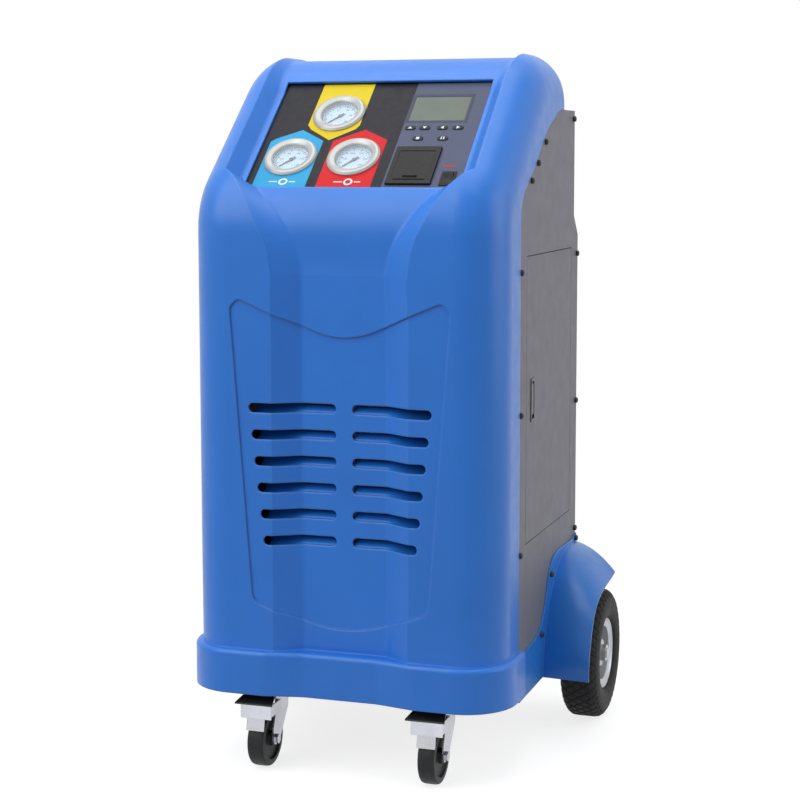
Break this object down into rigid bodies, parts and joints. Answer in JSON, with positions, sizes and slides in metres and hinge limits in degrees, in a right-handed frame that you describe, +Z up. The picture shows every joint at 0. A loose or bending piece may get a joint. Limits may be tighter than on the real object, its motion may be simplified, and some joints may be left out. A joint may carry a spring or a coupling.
{
  "type": "refrigerant recovery machine",
  "caption": "Wheeled refrigerant recovery and charging unit: louvred moulded front, sloping console with gauges, keypad and printer, service door, two wheels and two casters.",
  "frame": {"origin": "on the floor, under the middle of the bounding box", "axes": "+Z up, +X to the right of a person who stands at the console and faces the machine, +Y to the rear, front faces -Y"},
  "size_m": [0.758, 0.662, 1.2839],
  "materials": {
    "cover_blue": "semi-gloss moulded",
    "panel_grey": "semi-matte textured paint",
    "frame_black": "semi-gloss powder coat",
    "fender_blue": "semi-gloss moulded",
    "tyre_black": "matte treaded",
    "rim_silver": "silver paint",
    "axle_steel": "zinc plated",
    "caster_zinc": "zinc plated",
    "caster_rubber": "matte",
    "pedal_black": "matte",
    "latch_black": "fine grain",
    "console_dark": "matte film",
    "keypad_grey": "matte film",
    "gauge_ring": "satin silver",
    "gauge_face": "pale matte dial",
    "gauge_clear": "clear",
    "pointer_black": "matte",
    "lcd_green": "unlit grey-green display",
    "key_dark": "matte",
    "printer_black": "matte",
    "paper_white": "plain",
    "switch_black": "matte",
    "handle_black": "powder coat",
    "tank_grey": "semi-gloss paint",
    "scale_metal": "mill finish",
    "compressor_black": "gloss paint",
    "pump_grey": "cast",
    "coil_metal": "finned",
    "fan_black": "matte",
    "filter_metal": "gloss paint",
    "manifold_metal": "machined",
    "bottle_plastic": "translucent",
    "box_metal": "zinc plated",
    "port_brass": "machined",
    "inlet_black": "matte",
    "screw_black": "black oxide"
  },
  "bodies": {
    "wheel_left": {"tyre_left": "tyre_black", "rim_left": "rim_silver"},
    "wheel_right": {"tyre_right": "tyre_black", "rim_right": "rim_silver"},
    "caster_left": {"caster_fork_left": "caster_zinc"},
    "caster_right": {"caster_fork_right": "caster_zinc"},
    "caster_roller_left": {"caster_wheel_left": "caster_rubber"},
    "caster_roller_right": {"caster_wheel_right": "caster_rubber"},
    "brake_left": {"caster_pedal_left": "pedal_black"},
    "brake_right": {"caster_pedal_right": "pedal_black"},
    "door": {"service_door": "panel_grey", "latch_body": "latch_black"},
    "door_latch": {"latch_lever": "latch_black"},
    "vacuum_needle": {"gauge_pointer_vacuum": "pointer_black"},
    "low_needle": {"gauge_pointer_low": "pointer_black"},
    "high_needle": {"gauge_pointer_high": "pointer_black"},
    "printer_cover": {"printer_lid": "printer_black"},
    "paper": {"paper_roll": "paper_white"},
    "rocker": {"power_rocker": "switch_black"},
    "fan": {"fan_rotor": "fan_black"},
    "button_1": {"key_1": "key_dark"},
    "button_2": {"key_2": "key_dark"},
    "button_3": {"key_3": "key_dark"},
    "button_4": {"key_4": "key_dark"},
    "button_5": {"key_5": "key_dark"},
    "button_6": {"key_6": "key_dark"},
    "machine": {"front_cover": "cover_blue", "side_panel_right": "panel_grey", "side_panel_left": "panel_grey", "rear_panel": "panel_grey", "base_pan": "frame_black", "rear_axle": "axle_steel", "upright_frame": "frame_black", "equipment_shelf": "frame_black", "push_handle": "handle_black", "fender_right": "fender_blue", "fender_left": "fender_blue", "caster_plates": "caster_zinc", "console_panel": "console_dark", "keypad_panel": "keypad_grey", "gauge_bodies": "gauge_ring", "gauge_dials": "gauge_face", "gauge_lenses": "gauge_clear", "lcd_display": "lcd_green", "printer_body": "printer_black", "switch_frame": "switch_black", "scale_platform": "scale_metal", "storage_tank": "tank_grey", "compressor": "compressor_black", "vacuum_pump": "pump_grey", "condenser": "coil_metal", "fan_shroud": "fan_black", "filter_driers": "filter_metal", "valve_manifold": "manifold_metal", "oil_bottles": "bottle_plastic", "control_box": "box_metal", "service_ports": "port_brass", "power_inlet": "inlet_black", "body_screws": "screw_black"}
  },
  "joints": [
    {"name": "wheel_roll_left", "type": "hinge", "parent": "machine", "child": "wheel_left", "pos_m": [-0.333, 0.206, 0.125], "axis": [1, 0, 0], "continuous": true},
    {"name": "caster_swivel_left", "type": "hinge", "parent": "machine", "child": "caster_left", "pos_m": [-0.16, -0.24, 0.137], "axis": [0, 0, 1], "continuous": true},
    {"name": "caster_roll_left", "type": "hinge", "parent": "caster_left", "child": "caster_roller_left", "pos_m": [-0.16, -0.273, 0.05], "axis": [1, 0, 0], "continuous": true},
    {"name": "caster_brake_left", "type": "hinge", "parent": "caster_left", "child": "brake_left", "pos_m": [-0.16, -0.297, 0.112], "axis": [1, 0, 0], "range_deg": [0, 8]},
    {"name": "wheel_roll_right", "type": "hinge", "parent": "machine", "child": "wheel_right", "pos_m": [0.333, 0.206, 0.125], "axis": [1, 0, 0], "continuous": true},
    {"name": "caster_swivel_right", "type": "hinge", "parent": "machine", "child": "caster_right", "pos_m": [0.16, -0.24, 0.137], "axis": [0, 0, 1], "continuous": true},
    {"name": "caster_roll_right", "type": "hinge", "parent": "caster_right", "child": "caster_roller_right", "pos_m": [0.16, -0.273, 0.05], "axis": [1, 0, 0], "continuous": true},
    {"name": "caster_brake_right", "type": "hinge", "parent": "caster_right", "child": "brake_right", "pos_m": [0.16, -0.297, 0.112], "axis": [1, 0, 0], "range_deg": [0, 8]},
    {"name": "door_swing", "type": "hinge", "parent": "machine", "child": "door", "pos_m": [0.284, 0.2045, 0.663], "axis": [0, 0, 1], "range_deg": [0, 110]},
    {"name": "latch_lift", "type": "hinge", "parent": "door", "child": "door_latch", "pos_m": [0.2825, -0.088, 0.691], "axis": [0, -1, 0], "range_deg": [0, 48]},
    {"name": "press_key_1", "type": "slide", "parent": "machine", "child": "button_1", "axis": [0, -0.6561, 0.7547], "range_m": [-0.001, 0], "stiffness_N_per_m": 600, "springref_m": 0.0005},
    {"name": "press_key_2", "type": "slide", "parent": "machine", "child": "button_2", "axis": [0, -0.6561, 0.7547], "range_m": [-0.001, 0], "stiffness_N_per_m": 600, "springref_m": 0.0005},
    {"name": "press_key_3", "type": "slide", "parent": "machine", "child": "button_3", "axis": [0, -0.6561, 0.7547], "range_m": [-0.001, 0], "stiffness_N_per_m": 600, "springref_m": 0.0005},
    {"name": "press_key_4", "type": "slide", "parent": "machine", "child": "button_4", "axis": [0, -0.6561, 0.7547], "range_m": [-0.001, 0], "stiffness_N_per_m": 600, "springref_m": 0.0005},
    {"name": "press_key_5", "type": "slide", "parent": "machine", "child": "button_5", "axis": [0, -0.6561, 0.7547], "range_m": [-0.001, 0], "stiffness_N_per_m": 600, "springref_m": 0.0005},
    {"name": "press_key_6", "type": "slide", "parent": "machine", "child": "button_6", "axis": [0, -0.6561, 0.7547], "range_m": [-0.001, 0], "stiffness_N_per_m": 600, "springref_m": 0.0005},
    {"name": "power_switch", "type": "hinge", "parent": "machine", "child": "rocker", "pos_m": [0.172, -0.2317, 1.05419], "axis": [1, 0, 0], "range_deg": [-14, 0]},
    {"name": "printer_lid_open", "type": "hinge", "parent": "machine", "child": "printer_cover", "pos_m": [0.103, -0.18552, 1.10342], "axis": [-1, 0, 0], "range_deg": [0, 100]},
    {"name": "paper_feed", "type": "hinge", "parent": "machine", "child": "paper", "pos_m": [0.103, -0.1962, 1.06518], "axis": [1, 0, 0], "continuous": true},
    {"name": "vacuum_reading", "type": "hinge", "parent": "machine", "child": "vacuum_needle", "pos_m": [-0.075, -0.1015, 1.17269], "axis": [0, -0.6561, 0.7547], "range_deg": [-270, 0]},
    {"name": "low_reading", "type": "hinge", "parent": "machine", "child": "low_needle", "pos_m": [-0.135, -0.19207, 1.09395], "axis": [0, -0.6561, 0.7547], "range_deg": [-270, 0]},
    {"name": "high_reading", "type": "hinge", "parent": "machine", "child": "high_needle", "pos_m": [-0.015, -0.19207, 1.09395], "axis": [0, -0.6561, 0.7547], "range_deg": [-270, 0]},
    {"name": "fan_spin", "type": "hinge", "parent": "machine", "child": "fan", "pos_m": [0, -0.2, 0.515], "axis": [0, 1, 0], "continuous": true}
  ]
}
